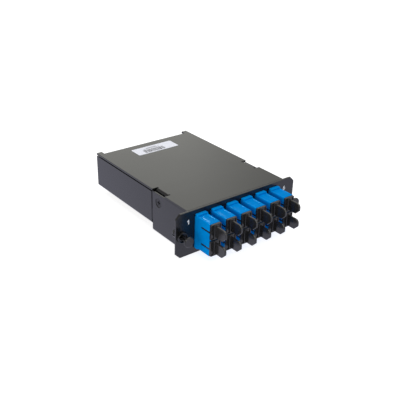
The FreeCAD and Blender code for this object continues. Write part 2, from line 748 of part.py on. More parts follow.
def fibre(x, z):
    """Jacketed fibre from one boot to the fan-out block: two equal arcs between short leads."""
    start = FreeCAD.Vector(x, BOOT_END, z)
    row = 1 if z > 0 else -1
    column = x / PITCH
    end = FreeCAD.Vector(column * FIBRE_SPREAD, BLOCK_FRONT, row * FIBRE_ROWS / 2)
    lead = FreeCAD.Vector(0, FIBRE_LEAD, 0)
    first = start + lead
    last = end - lead
    middle = (first + last) * 0.5
    along = last.y - first.y
    across = FreeCAD.Vector(last.x - first.x, 0, last.z - first.z)
    radius = (along ** 2 + across.Length ** 2) / (4 * across.Length)
    turn = 2 * math.atan2(across.Length, along)
    aside = FreeCAD.Vector(across).normalize()
    sweep = FreeCAD.Vector(0, radius * math.sin(turn / 2), 0) + aside * (radius * (1 - math.cos(turn / 2)))
    edges = [
        Part.LineSegment(start, first).toShape(),
        Part.Arc(first, first + sweep, middle).toShape(),
        Part.Arc(middle, last - sweep, last).toShape(),
        Part.LineSegment(last, end).toShape(),
    ]
    flats = []
    for index in range(FIBRE_SIDES):
        angle = 2 * math.pi * index / FIBRE_SIDES
        flats.append((x + FIBRE_R * math.cos(angle), z + FIBRE_R * math.sin(angle)))
    section = outline(flats, "xz", BOOT_END)
    return Part.Wire(edges).makePipeShell([section], True, True)


def fan_out_block():
    """Small block where the fibres gather into one ribbon."""
    width = (ADAPTER_COUNT - 1) * FIBRE_SPREAD + 2 * (FIBRE_R + BLOCK_WALL)
    height = FIBRE_ROWS + 2 * (FIBRE_R + BLOCK_WALL)
    return prism(rectangle(0, 0, width, height, BLOCK_WALL / 2), "xz", BLOCK_FRONT, BLOCK_BACK)


def ribbon():
    """Flat ribbon between the fan-out block and the multi-fibre plug's boot."""
    return prism(rectangle(0, 0, RIBBON_W, RIBBON_H), "xz", BLOCK_BACK, MULTI_BOOT_END)


def multifibre_plug():
    """Multi-fibre plug in the rear adapter's inner port, with its boot."""
    size = (MULTI_PORT_W - 2 * PLUG_CLEAR, MULTI_PORT_H - 2 * PLUG_CLEAR)
    housing = prism(rectangle(0, 0, *size), "xz", MULTI_PLUG_BACK, MULTI_PLUG_TIP)
    boot = rod(MULTI_BOOT_R, 0, 0, MULTI_BOOT_END, MULTI_PLUG_BACK)
    return fused([housing, boot])


def save(name, *solids):
    """Write one node's solids as parts/NAME.step."""
    shape = solids[0] if len(solids) == 1 else Part.makeCompound(list(solids))
    if not shape.isValid():
        raise ValueError("invalid shape: " + name)
    shape.exportStep("parts/" + name + ".step")


def main():
    """Build every node."""
    os.makedirs("parts", exist_ok=True)
    save("faceplate", faceplate())
    save("front_housing", front_housing())
    save("rear_tray", rear_tray())
    save("lid", lid())
    screw = side_screw()
    save("side_screws", screw, mirrored(screw))
    save("label", label())
    adapter = sc_adapter()
    insert = adapter_insert()
    for number, x in enumerate(adapter_places(), 1):
        save("sc_adapter_%d" % number, moved(adapter, x, 0, 0))
        save("adapter_insert_%d" % number, moved(insert, x, 0, 0))
    ports = port_places()
    sleeve = alignment_sleeve()
    save("alignment_sleeves", *[moved(sleeve, x, 0, z) for x, z in ports])
    cap = dust_cap()
    plug = inner_plug()
    for number, (x, z) in enumerate(ports, 1):
        save("dust_cap_%02d" % number, moved(cap, x, 0, z))
        save("inner_plug_%02d" % number, moved(plug, x, 0, z))
    save("fibre_loom", *[fibre(x, z) for x, z in ports])
    for side, name in zip(SIDES, ("left", "right")):
        save("grommet_" + name, grommet(side * LATCH_SPACING / 2))
        save("plunger_" + name, plunger(side * LATCH_SPACING / 2))
    save("multifibre_adapter", multifibre_adapter())
    screw_x = MULTI_SCREW_SPACING / 2
    save("multifibre_screws", multifibre_screw(-screw_x), multifibre_screw(screw_x))
    save("multifibre_cap", multifibre_cap())
    save("multifibre_plug", multifibre_plug())
    save("fan_out_block", fan_out_block())
    save("ribbon", ribbon())


main()
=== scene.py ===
import json
import math

import bmesh
import bpy
from bpy.props import FloatProperty, FloatVectorProperty, PointerProperty, StringProperty
from mathutils import Matrix, Vector


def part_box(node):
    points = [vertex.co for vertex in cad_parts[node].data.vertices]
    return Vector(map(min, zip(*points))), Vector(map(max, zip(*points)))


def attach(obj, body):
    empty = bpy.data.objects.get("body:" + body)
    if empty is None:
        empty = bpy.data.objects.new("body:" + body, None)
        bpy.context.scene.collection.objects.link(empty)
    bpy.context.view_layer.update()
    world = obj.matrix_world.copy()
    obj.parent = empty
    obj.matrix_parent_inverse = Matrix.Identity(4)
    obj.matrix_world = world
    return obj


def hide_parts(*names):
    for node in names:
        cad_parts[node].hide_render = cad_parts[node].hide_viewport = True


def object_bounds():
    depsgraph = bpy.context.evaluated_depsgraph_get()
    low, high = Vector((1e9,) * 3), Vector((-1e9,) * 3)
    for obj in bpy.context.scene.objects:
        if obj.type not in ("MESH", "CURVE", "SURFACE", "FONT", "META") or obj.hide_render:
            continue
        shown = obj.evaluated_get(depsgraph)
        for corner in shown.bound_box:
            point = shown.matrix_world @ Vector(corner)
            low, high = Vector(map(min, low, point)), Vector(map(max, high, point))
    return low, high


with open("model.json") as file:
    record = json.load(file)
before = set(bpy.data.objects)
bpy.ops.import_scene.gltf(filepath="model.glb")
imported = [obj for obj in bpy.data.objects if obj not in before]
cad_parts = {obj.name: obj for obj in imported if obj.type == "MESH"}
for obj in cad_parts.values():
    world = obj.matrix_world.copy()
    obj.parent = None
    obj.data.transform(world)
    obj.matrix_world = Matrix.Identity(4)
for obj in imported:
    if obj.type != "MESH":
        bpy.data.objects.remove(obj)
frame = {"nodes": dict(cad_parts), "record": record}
CAD_BOX = [list(corner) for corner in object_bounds()]

bl_info = {
    "name": "Fibre adapter panel",
    "version": (1, 0, 0),
    "blender": (4, 5, 0),
    "location": "View3D > Sidebar > Adapter panel",
    "description": "Dresses a latched panel of duplex adapters, its dust caps and fan-out housing",
    "category": "Object",
}

MM = 0.001
WHITE = (1.0, 1.0, 1.0, 1.0)


def nodes_named(start):
    """The CAD nodes whose names start alike, in order."""
    return sorted(name for name in frame["nodes"] if name.startswith(start))


ADAPTERS = nodes_named("sc_adapter_")
INSERTS = nodes_named("adapter_insert_")
DUST_CAPS = nodes_named("dust_cap_")
INNER_PLUGS = nodes_named("inner_plug_")
GROMMETS = nodes_named("grommet_")
PLUNGERS = nodes_named("plunger_")
BODY_OF = {
    node: body
    for body, nodes in frame["record"]["behaviour"]["bodies"].items()
    for node in nodes
}

# How loose triangles are merged, and the angles that sort a piece's edges.
WELD_DISTANCE = 0.002 * MM
FLAT_ANGLE = math.radians(0.6)
CORNER_ANGLE = math.radians(28)
HOLLOW_ANGLE = math.radians(20)
SMOOTH_ANGLE = math.radians(38)
ADAPTER_SMOOTH_ANGLE = math.radians(50)

# Places on the CAD pieces that tell the edges to break from the others.
SCREW_HEAD_X = 43 * MM
PORT_HALF_W = 4.0 * MM
PORTS_HALF_H = 11.5 * MM
MOUTH_REACH = 0.1 * MM
FIN_REACH = 10.3 * MM
CAP_FACE_GAP = 0.3 * MM
FLANGE_FRONT_Y = -1.7 * MM
KNOB_FRONT_Y = -8.5 * MM

# Black tongue of a dust cap in its port's keyway, a dark piece put in the slot as painted shade,
# placed from the adapter's mouth and left side.
SHADE_TONGUE_FRONT = 0.3 * MM
SHADE_TONGUE_DEPTH = 8.6 * MM
SHADE_TONGUE_OUTER = 0.5 * MM
SHADE_TONGUE_INNER = 1.7 * MM
SHADE_TONGUE_TALL = 1.2 * MM

# Flag of the figure one, as shares of the stroke and the ink, and its slant.
FLAG_LENGTH = 1.6
FLAG_STROKE = 0.8
FLAG_INK = 0.9
FLAG_SLANT = math.radians(35)

# A digit's height as a share of its text size, and how far its outline is fattened.
DIGIT_SHARE = 0.7
DIGIT_FATTEN = 0.1 * MM

# Print on the label, in millimetres from its middle: upright bars, then (x, y, wide, tall) lines.
BAR_COUNT = 17
BAR_START = -11.5
BAR_PITCH = 1.16
BAR_WIDTHS = (0.56, 0.94, 0.42, 0.76)
BAR_Y = -2.2
BAR_TALL = 5.8
LABEL_LINES = [(-2.4, 2.2, 15.0, 0.5), (-2.0, 3.4, 9.0, 0.5)]
LABEL_CORNER_STEPS = 6

# The part of a noise texture's range that is used, and a film's spread of roughness.
NOISE_LOW = 0.3
NOISE_HIGH = 0.7
FILM_ROUGH_SPREAD = 0.06

# Gloss of the blue plastic: weak, and blue itself.
BLUE_GLOSS = 0.006
BLUE_GLOSS_TINT = (0.0, 0.5, 1.0, 1.0)

# Stage: the floor as the camera sees it, and the colours of wall, floor and lights.
FLOOR_SIZE = 8.0
FLOOR_GLOW = 0.82
FLOOR_GREY = (0.5, 0.5, 0.5, 1.0)
FLOOR_SHEEN = (0.82, 0.82, 1.0, 1.0)
WALL_COLOUR = (1.0, 1.0, 0.94, 1.0)
WALL_FAR_SHARE = 0.55
RIM_COLOUR = (1.0, 0.95, 0.9)
GLINT_COLOUR = (0.5, 0.9, 1.0)


def length(name, description, millimetres):
    """A length property with its default in millimetres."""
    return FloatProperty(
        name=name,
        description=description,
        default=millimetres * MM,
        min=0.0,
        precision=5,
        unit="LENGTH",
        subtype="DISTANCE",
    )


def colour(name, description, red, green, blue):
    """A colour property in linear light."""
    return FloatVectorProperty(
        name=name,
        description=description,
        default=(red, green, blue),
        min=0.0,
        max=1.0,
        size=3,
        subtype="COLOR",
    )


def angle(name, description, degrees):
    """An angle property with its default in degrees."""
    return FloatProperty(
        name=name, description=description, default=math.radians(degrees), subtype="ANGLE"
    )


def level(name, description, default):
    """A strength property."""
    return FloatProperty(name=name, description=description, default=default, min=0.0)


def power(name, description, watts):
    """A light's power in watts."""
    return FloatProperty(name=name, description=description, default=watts, min=0.0, unit="POWER")


class EdgeSizes(bpy.types.PropertyGroup):
    """How far the edges of each kind of piece are broken."""

    plate: length("Plate edges", "Coated edges of the faceplate", 0.26)
    sheet: length("Sheet edges", "Coated edges of the folded sheets", 0.16)
    adapter: length("Adapter edges", "Moulded edges round the duplex adapters' mouths", 0.25)
    cap: length("Cap edges", "Moulded edges of a dust cap's face, insert and key", 0.16)
    fin: length("Fin edges", "Rounded edges of a dust cap's fin", 0.42)
    latch: length("Latch edges", "Moulded edges of the grommets", 0.22)
    knob: length("Knob edge", "Rounded rims of the plungers' knobs", 0.24)
    screw: length("Screw edges", "Rims and recesses of the screws", 0.08)


class PrintSizes(bpy.types.PropertyGroup):
    """Sizes of the label and the two port numbers."""

    number_height: length("Number height", "Height of the port numbers", 3.4)
    number_stroke: length("Number stroke", "Width of a number's strokes", 0.85)
    first_inset: length("First number place", "Plate's left end to the number's middle", 10.6)
    first_rise: length("First number rise", "Plate's middle up to the number's foot", 7.4)
    last_inset: length("Last number place", "Plate's right end to the number's middle", 9.8)
    last_rise: length("Last number rise", "Plate's middle up to the number's foot", 8.2)
    ink: length("Ink", "Thickness of the printed films", 0.02)
    label_corner: length("Label corner", "Corner radius of the label", 1.0)
    last_number: StringProperty(
        name="Last number", description="Number over the right end of the row", default="6"
    )


class Finishes(bpy.types.PropertyGroup):
    """Base colours of the finishes."""

    powder_coat: colour("Powder coat", "Satin black of the sheets", 0.009, 0.009, 0.0095)
    adapter_blue: colour("Adapter blue", "Blue of the duplex adapters", 0.0, 0.24, 0.68)
    cap_black: colour("Cap black", "Soft black of the dust caps", 0.019, 0.0185, 0.019)
    latch_black: colour("Latch black", "Black of the grommets and plungers", 0.013, 0.013, 0.014)
    moulded_black: colour("Moulded black", "Rear adapter, its plug and block", 0.02, 0.02, 0.021)
    screw_black: colour("Screw black", "Black oxide of the side screws", 0.03, 0.03, 0.032)
    screw_steel: colour("Screw steel", "Bright steel of the rear screws", 0.55, 0.55, 0.56)
    label_white: colour("Label white", "Film of the label", 0.84, 0.86, 0.94)
    ink_grey: colour("Ink grey", "Bars on the label", 0.06, 0.06, 0.07)
    ink_white: colour("Ink white", "Numbers on the plate", 0.85, 0.86, 0.88)
    plug_blue: colour("Plug blue", "Inner plugs", 0.01, 0.16, 0.5)
    sleeve_white: colour("Sleeve white", "Ceramic of the alignment sleeves", 0.86, 0.85, 0.8)
    fibre_yellow: colour("Fibre yellow", "Jackets of the fibres", 0.8, 0.55, 0.03)


class StageSettings(bpy.types.PropertyGroup):
    """Camera and lights."""

    eye: FloatVectorProperty(
        name="Eye",
        description="Camera's place",
        default=(-0.27301, -0.30266, 0.21912),
        size=3,
        subtype="TRANSLATION",
    )
    azimuth: angle("Azimuth", "Camera's turn round the panel", -38.321)
    elevation: angle("Elevation", "Camera's height above the horizon", 27.047)
    roll: angle("Roll", "Camera's tilt about its axis", 1.375)
    lens: FloatProperty(
        name="Lens", description="Focal length in millimetres", default=57.51, min=1.0
    )
    ambient: level("Ambient", "Strength of the surrounding light", 0.45)
    wall_level: level("Wall level", "Studio wall as reflections show it", 1.36)
    floor_level: level("Floor level", "Floor as reflections show it", 0.98)
    floor_bounce: level("Floor bounce", "Light that the floor throws back", 0.5)
    key_power: power("Key power", "Overhead soft light", 6.5)
    side_power: power("Side power", "Soft light from the left", 4.4)
    front_power: power("Front power", "Soft light that rims the caps and latches", 5.0)
    glint_power: power("Glint power", "Small light behind that glints on the adapters", 22.0)


class PanelSettings(bpy.types.PropertyGroup):
    """All settings of the adapter panel."""

    edges: PointerProperty(type=EdgeSizes)
    prints: PointerProperty(type=PrintSizes)
    finishes: PointerProperty(type=Finishes)
    stage: PointerProperty(type=StageSettings)


def settings():
    """The panel's settings in this scene."""
    return bpy.context.scene.adapter_panel


def deselect():
    """Go to object mode with nothing selected."""
    if bpy.context.mode != "OBJECT":
        bpy.ops.object.mode_set(mode="OBJECT")
    bpy.ops.object.select_all(action="DESELECT")


def pick(piece):
    """Select one piece alone and make it active."""
    deselect()
    piece.select_set(True)
    bpy.context.view_layer.objects.active = piece


def edit(piece):
    """Open one piece in edit mode with all of it selected."""
    pick(piece)
    bpy.ops.object.mode_set(mode="EDIT")
    bpy.ops.mesh.select_mode(type="EDGE")
    bpy.ops.mesh.select_all(action="SELECT")


def choose_edges(piece, test):
    """Select the open piece's edges that pass a test."""
    mesh = bmesh.from_edit_mesh(piece.data)
    bpy.ops.mesh.select_all(action="DESELECT")
    bpy.ops.mesh.select_mode(type="EDGE")
    for edge in mesh.edges:
        edge.select_set(bool(test(edge)))
    mesh.select_flush_mode()
    bmesh.update_edit_mesh(piece.data)


def is_corner(edge):
    """Whether two faces meet along an edge at a clear outward angle."""
    return len(edge.link_faces) == 2 and edge.calc_face_angle_signed(0.0) > CORNER_ANGLE


def is_hollow(edge):
    """Whether two faces meet along an edge at a clear inward angle."""
    return len(edge.link_faces) == 2 and edge.calc_face_angle_signed(0.0) < -HOLLOW_ANGLE


def middle(edge):
    """The middle of an edge."""
    return (edge.verts[0].co + edge.verts[1].co) / 2


def bake_in():
    """Apply the selected pieces' place, turn and scale to their meshes."""
    bpy.ops.object.transform_apply(location=True, rotation=True, scale=True)


def add_block(centre, size):
    """A new block of a given size about a point, still to be baked in."""
    bpy.ops.mesh.primitive_cube_add(size=1.0, location=centre)
    block = bpy.context.object
    block.scale = size
    return block


def clean_copy(node, name):
    """A copy of a CAD node's form with its loose triangles merged into clean faces."""
    mesh = frame["nodes"][node].data.copy()
    mesh.name = name
    mesh.materials.clear()
    piece = bpy.data.objects.new(name, mesh)
    bpy.context.scene.collection.objects.link(piece)
    edit(piece)
    bpy.ops.mesh.remove_doubles(threshold=WELD_DISTANCE)
    bpy.ops.mesh.dissolve_limited(angle_limit=FLAT_ANGLE, use_dissolve_boundaries=False)
    deselect()
    return piece


def break_edges(piece, width, segments, test=lambda edge: True):
    """Round the piece's corner edges that pass a test."""
    edit(piece)
    choose_edges(piece, lambda edge: is_corner(edge) and test(edge))
    bpy.ops.mesh.bevel(
        offset=width,
        offset_type="OFFSET",
        segments=segments,
        profile=0.5,
        affect="EDGES",
        clamp_overlap=False,
    )
    deselect()


def smooth(piece, limit=SMOOTH_ANGLE):
    """Shade a piece smoothly, with its flat faces kept flat and its inside corners crisp."""
    pick(piece)
    bpy.ops.object.shade_smooth_by_angle(angle=limit)
    edit(piece)
    choose_edges(piece, is_hollow)
    bpy.ops.mesh.mark_sharp()
    pick(piece)
    bpy.ops.object.modifier_add(type="WEIGHTED_NORMAL")
    piece.modifiers[-1].keep_sharp = True
    bpy.ops.object.modifier_apply(modifier=piece.modifiers[-1].name)
    deselect()


def seat(piece, node, material):
    """Put a finished piece in a CAD node's place, on its body and in its finish."""
    piece.data.materials.clear()
    piece.data.materials.append(material)
    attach(piece, BODY_OF[node])
    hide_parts(node)


def repeat(piece, nodes, material):
    """Seat a piece in its first node's place and its copies in the other nodes' places."""
    first = nodes[0]
    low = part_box(first)[0]
    for node in nodes[1:]:
        twin = piece.copy()
        twin.data = piece.data.copy()
        twin.name = "dressed_" + node
        twin.data.name = twin.name
        bpy.context.scene.collection.objects.link(twin)
        twin.data.transform(Matrix.Translation(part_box(node)[0] - low))
        seat(twin, node, material)
    seat(piece, first, material)


def finish_node(node, material):
    """Give a CAD node that shows as it is one finish."""
    mesh = frame["nodes"][node].data
    mesh.materials.clear()
    mesh.materials.append(material)


def new_material(name):
    """An empty node material: (material, nodes, links, shader)."""
    material = bpy.data.materials.new(name)
    material.use_nodes = True
    nodes = material.node_tree.nodes
    return material, nodes, material.node_tree.links, nodes["Principled BSDF"]


def noise(nodes, links, scale, detail, roughness=0.55):
    """A noise texture over a piece's own coordinates."""
    place = nodes.new("ShaderNodeTexCoord").outputs["Object"]
    texture = nodes.new("ShaderNodeTexNoise")
    texture.inputs["Scale"].default_value = scale
    texture.inputs["Detail"].default_value = detail
    texture.inputs["Roughness"].default_value = roughness
    links.new(place, texture.inputs["Vector"])
    return texture.outputs["Fac"]


def spread(nodes, links, value, low, high, start=NOISE_LOW, end=NOISE_HIGH):
    """Map a value that runs from start to end to a range from low to high."""
    node = nodes.new("ShaderNodeMapRange")
    node.inputs["From Min"].default_value = start
    node.inputs["From Max"].default_value = end
    node.inputs["To Min"].default_value = low
    node.inputs["To Max"].default_value = high
    links.new(value, node.inputs["Value"])
    return node.outputs["Result"]


def shade_range(nodes, links, value, base, dark, light):
    """A colour that varies about a base with a texture's value."""
    ramp = nodes.new("ShaderNodeValToRGB")
    ends = ramp.color_ramp.elements
    for end, position, share in ((ends[0], NOISE_LOW, dark), (ends[1], NOISE_HIGH, light)):
        end.position = position
        end.color = [min(1.0, c * share) for c in base] + [1.0]
    links.new(value, ramp.inputs["Fac"])
    return ramp.outputs["Color"]


def grain(nodes, links, shader, height, strength, depth):
    """Bump a shader by a texture's value."""
    bump = nodes.new("ShaderNodeBump")
    bump.inputs["Strength"].default_value = strength
    bump.inputs["Distance"].default_value = depth
    links.new(height, bump.inputs["Height"])
    links.new(bump.outputs["Normal"], shader.inputs["Normal"])


def coated_sheet(name, base, rough):
    """Satin powder coat: fine orange peel over a black ground with faint clouds."""
    material, nodes, links, shader = new_material(name)
    peel = noise(nodes, links, scale=1500, detail=3, roughness=0.6)
    cloud = noise(nodes, links, scale=26, detail=4)
    tone = shade_range(nodes, links, cloud, base, dark=0.86, light=1.16)
    links.new(tone, shader.inputs["Base Color"])
    links.new(spread(nodes, links, peel, *rough), shader.inputs["Roughness"])
    grain(nodes, links, shader, peel, strength=0.08, depth=0.02 * MM)
    return material


def moulding(name, base, rough, grain_scale, grain_strength, dark=0.9, light=1.1):
    """Moulded plastic: flow clouds in the colour and a fine tool grain."""
    material, nodes, links, shader = new_material(name)
    flow = noise(nodes, links, scale=120, detail=3)
    tool = noise(nodes, links, scale=grain_scale, detail=2)
    links.new(shade_range(nodes, links, flow, base, dark, light), shader.inputs["Base Color"])
    links.new(spread(nodes, links, flow, *rough), shader.inputs["Roughness"])
    grain(nodes, links, shader, tool, grain_strength, depth=0.03 * MM)
    return material


def turned_steel(name, base, rough, metallic):
    """Screw steel: fine turning streaks in roughness and colour."""
    material, nodes, links, shader = new_material(name)
    streak = noise(nodes, links, scale=900, detail=4, roughness=0.7)
    tone = shade_range(nodes, links, streak, base, dark=0.8, light=1.2)
    links.new(tone, shader.inputs["Base Color"])
    links.new(spread(nodes, links, streak, *rough), shader.inputs["Roughness"])
    shader.inputs["Metallic"].default_value = metallic
    grain(nodes, links, shader, streak, strength=0.1, depth=0.02 * MM)
    return material


def printed_film(name, base, rough):
    """Paper or ink film: faint fibre mottle and a soft tooth."""
    material, nodes, links, shader = new_material(name)
    fibre = noise(nodes, links, scale=700, detail=5, roughness=0.65)
    tone = shade_range(nodes, links, fibre, base, dark=0.95, light=1.05)
    links.new(tone, shader.inputs["Base Color"])
    tooth = spread(nodes, links, fibre, rough - FILM_ROUGH_SPREAD, rough + FILM_ROUGH_SPREAD)
    links.new(tooth, shader.inputs["Roughness"])
    grain(nodes, links, shader, fibre, strength=0.08, depth=0.01 * MM)
    return material


class ADAPTERPANEL_OT_faceplate(bpy.types.Operator):
    """Coated faceplate with a white number over each end of the row"""

    bl_idname = "adapter_panel.faceplate"
    bl_label = "Faceplate"

    def execute(self, context):
        s = settings()
        coat = coated_sheet("powder_coat_plate", s.finishes.powder_coat, rough=(0.18, 0.26))
        plate = clean_copy("faceplate", "dressed_faceplate")
        break_edges(plate, s.edges.plate, segments=3)
        smooth(plate)
        seat(plate, "faceplate", coat)
        ink = printed_film("white_ink", s.finishes.ink_white, rough=0.5)
        low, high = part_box("faceplate")
        first = Vector((low.x + s.prints.first_inset, low.y, s.prints.first_rise))
        last = Vector((high.x - s.prints.last_inset, low.y, s.prints.last_rise))
        self.figure_one(s.prints, first, ink)
        self.figure(s.prints, last, ink)
        return {"FINISHED"}

    def figure_one(self, prints, foot, ink):
        """A plain figure one: an upright stroke with a slanted flag at its head."""
        stroke = prints.number_stroke
        tall = prints.number_height
        flag = FLAG_LENGTH * stroke
        deselect()
        upright = add_block(foot + Vector((0, 0, tall / 2)), (stroke, prints.ink, tall))
        bake_in()
        head = foot + Vector((0, 0, tall - stroke / 2))
        size = (flag, FLAG_INK * prints.ink, FLAG_STROKE * stroke)
        add_block(head - Vector((flag / 2, 0, 0)), size)
        bake_in()
        bpy.ops.transform.rotate(value=FLAG_SLANT, orient_axis="Y", center_override=head)
        bake_in()
        upright.select_set(True)
        bpy.context.view_layer.objects.active = upright
        bpy.ops.object.join()
        self.finish_figure(upright, "port_number_first", ink)

    def figure(self, prints, foot, ink):
        """The number of the row's last adapter."""
        deselect()
        bpy.ops.object.text_add(location=foot, rotation=(math.pi / 2, 0, 0))
        number = bpy.context.object
        number.data.body = prints.last_number
        number.data.align_x = "CENTER"
        number.data.size = prints.number_height / DIGIT_SHARE
        number.data.offset = DIGIT_FATTEN
        number.data.extrude = prints.ink / 2
        bpy.ops.object.convert(target="MESH")
        bake_in()
        self.finish_figure(bpy.context.object, "port_number_last", ink)

    def finish_figure(self, number, name, ink):
        """Name a figure and fix it to the plate."""
        number.name = name
        number.data.materials.clear()
        number.data.materials.append(ink)
        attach(number, "panel")
        deselect()


class ADAPTERPANEL_OT_housing(bpy.types.Operator):
    """Folded front housing, rear tray and lid"""

    bl_idname = "adapter_panel.housing"
    bl_label = "Housing"

    def execute(self, context):
        s = settings()
        coat = coated_sheet("powder_coat_housing", s.finishes.powder_coat, rough=(0.1, 0.17))
        for node in ("front_housing", "rear_tray", "lid"):
            piece = clean_copy(node, "dressed_" + node)
            break_edges(piece, s.edges.sheet, segments=2)
            smooth(piece)
            seat(piece, node, coat)
        return {"FINISHED"}


class ADAPTERPANEL_OT_side_screws(bpy.types.Operator):
    """Countersunk side screws with cross recesses"""

    bl_idname = "adapter_panel.side_screws"
    bl_label = "Side screws"

    def execute(self, context):
        s = settings()
        oxide = turned_steel("black_oxide", s.finishes.screw_black, rough=(0.3, 0.5), metallic=0.5)
        piece = clean_copy("side_screws", "dressed_side_screws")
        break_edges(
            piece,
            s.edges.screw,
            segments=2,
            test=lambda edge: abs(middle(edge).x) > SCREW_HEAD_X,
        )
        smooth(piece)
        seat(piece, "side_screws", oxide)
        return {"FINISHED"}


class ADAPTERPANEL_OT_label(bpy.types.Operator):
    """Blank label film with a few generic printed bars"""

    bl_idname = "adapter_panel.label"
    bl_label = "Label"

    def execute(self, context):
        s = settings()
        low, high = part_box("label")
        centre = (low + high) / 2
        top = high.z - s.prints.ink
        film = self.film(s.prints, low, high, top)
        paper = printed_film("label_film", s.finishes.label_white, rough=0.45)
        seat(film, "label", paper)
        self.bars(s, centre, top)
        return {"FINISHED"}

    def film(self, prints, low, high, top):
        """The label's film with rounded corners."""
        centre = (low + high) / 2
        deselect()
        bpy.ops.mesh.primitive_plane_add(size=1.0, location=(centre.x, centre.y, low.z))
        film = bpy.context.object
        film.name = "label_film"
        film.scale = (high.x - low.x, high.y - low.y, 1.0)
        bake_in()
        edit(film)
        bpy.ops.mesh.bevel(
            offset=prints.label_corner, segments=LABEL_CORNER_STEPS, affect="VERTICES"
        )
        bpy.ops.mesh.select_all(action="SELECT")
        bpy.ops.mesh.extrude_region_move(TRANSFORM_OT_translate={"value": (0, 0, top - low.z)})
        bpy.ops.mesh.select_all(action="SELECT")
        bpy.ops.mesh.normals_make_consistent(inside=False)
        deselect()
        smooth(film)
        return film

    def bars(self, s, centre, top):
        """Upright bars and two lines of ink on the film."""
        ink = printed_film("label_ink", s.finishes.ink_grey, rough=0.5)
        bars = [
            (BAR_START + BAR_PITCH * k, BAR_Y, BAR_WIDTHS[k % len(BAR_WIDTHS)], BAR_TALL)
            for k in range(BAR_COUNT)
        ]
        deselect()
        made = []
        for x, y, wide, tall in bars + LABEL_LINES:
            place = (centre.x + x * MM, centre.y + y * MM, top + s.prints.ink / 2)
            made.append(add_block(place, (wide * MM, tall * MM, s.prints.ink)))
        for bar in made:
            bar.select_set(True)
        bpy.ops.object.join()
        bake_in()
        bars_piece = bpy.context.object
        bars_piece.name = "label_bars"
        bars_piece.data.materials.append(ink)
        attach(bars_piece, "panel")
        deselect()


class ADAPTERPANEL_OT_adapters(bpy.types.Operator):
    """Duplex adapters with broken outer edges, and the finish of their inserts"""

    bl_idname = "adapter_panel.adapters"
    bl_label = "Duplex adapters"

    def execute(self, context):
        s = settings()
        blue = moulding(
            "adapter_blue",
            s.finishes.adapter_blue,
            rough=(0.16, 0.24),
            grain_scale=420,
            grain_strength=0.05,
            dark=0.93,
            light=1.07,
        )
        shader = blue.node_tree.nodes["Principled BSDF"]
        shader.inputs["Specular Tint"].default_value = BLUE_GLOSS_TINT
        shader.inputs["Specular IOR Level"].default_value = BLUE_GLOSS
        first = ADAPTERS[0]
        low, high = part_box(first)
        centre = (low + high) / 2

        def at_mouth(edge):
            """Whether an edge runs round the outside of the adapter's front."""
            at = middle(edge)
            outside = abs(at.x - centre.x) > PORT_HALF_W or abs(at.z) > PORTS_HALF_H
            return outside and at.y < low.y + MOUTH_REACH

        piece = clean_copy(first, "dressed_" + first)
        break_edges(piece, s.edges.adapter, segments=3, test=at_mouth)
        smooth(piece, ADAPTER_SMOOTH_ANGLE)
        repeat(piece, ADAPTERS, blue)
        for node in INSERTS:
            finish_node(node, blue)
        return {"FINISHED"}


class ADAPTERPANEL_OT_dust_caps(bpy.types.Operator):
    """Dust caps with rounded fins and a black tongue in the port's keyway that stands in for the
    slot's shade
    """

    bl_idname = "adapter_panel.dust_caps"
    bl_label = "Dust caps"

    def execute(self, context):
        s = settings()
        black = moulding(
            "cap_black",
            s.finishes.cap_black,
            rough=(0.15, 0.24),
            grain_scale=1800,
            grain_strength=0.08,
        )
        first = DUST_CAPS[0]
        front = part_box(first)[0].y + FIN_REACH
        face = front + CAP_FACE_GAP
        piece = clean_copy(first, "dressed_" + first)
        break_edges(piece, s.edges.fin, segments=4, test=lambda edge: middle(edge).y < front)
        break_edges(piece, s.edges.cap, segments=2, test=lambda edge: middle(edge).y > face)
        # The black tongue in the keyway is painted shade: it makes the slot show dark.
        self.add_shade_tongue(piece, s.edges)
        smooth(piece)
        repeat(piece, DUST_CAPS, black)
        return {"FINISHED"}

    def add_shade_tongue(self, cap, edges):
        """A flat black tongue along the insert's left side, in the keyway of the port, put there
        as painted shade so that the slot shows dark.
        """
        low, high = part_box(DUST_CAPS[0])
        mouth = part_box(ADAPTERS[0])[0]
        start, end = mouth.y - SHADE_TONGUE_FRONT, mouth.y + SHADE_TONGUE_DEPTH
        outer, inner = mouth.x + SHADE_TONGUE_OUTER, mouth.x + SHADE_TONGUE_INNER
        deselect()
        centre = ((outer + inner) / 2, (start + end) / 2, (low.z + high.z) / 2)
        key = add_block(centre, (inner - outer, end - start, SHADE_TONGUE_TALL))
        bake_in()
        break_edges(key, edges.cap, segments=2)
        pick(cap)
        key.select_set(True)
        bpy.ops.object.join()
        deselect()


class ADAPTERPANEL_OT_latches(bpy.types.Operator):
    """Split grommets and push-pull plungers"""

    bl_idname = "adapter_panel.latches"
    bl_label = "Latches"

    def execute(self, context):
        s = settings()
        nylon = moulding(
            "latch_black",
            s.finishes.latch_black,
            rough=(0.2, 0.3),
            grain_scale=1500,
            grain_strength=0.1,
        )
        grommet = clean_copy(GROMMETS[0], "dressed_" + GROMMETS[0])
        break_edges(
            grommet,
            s.edges.latch,
            segments=3,
            test=lambda edge: middle(edge).y < FLANGE_FRONT_Y,
        )
        smooth(grommet)
        repeat(grommet, GROMMETS, nylon)
        plunger = clean_copy(PLUNGERS[0], "dressed_" + PLUNGERS[0])
        break_edges(
            plunger,
            s.edges.knob,
            segments=3,
            test=lambda edge: middle(edge).y < KNOB_FRONT_Y,
        )
        smooth(plunger)
        repeat(plunger, PLUNGERS, nylon)
        return {"FINISHED"}


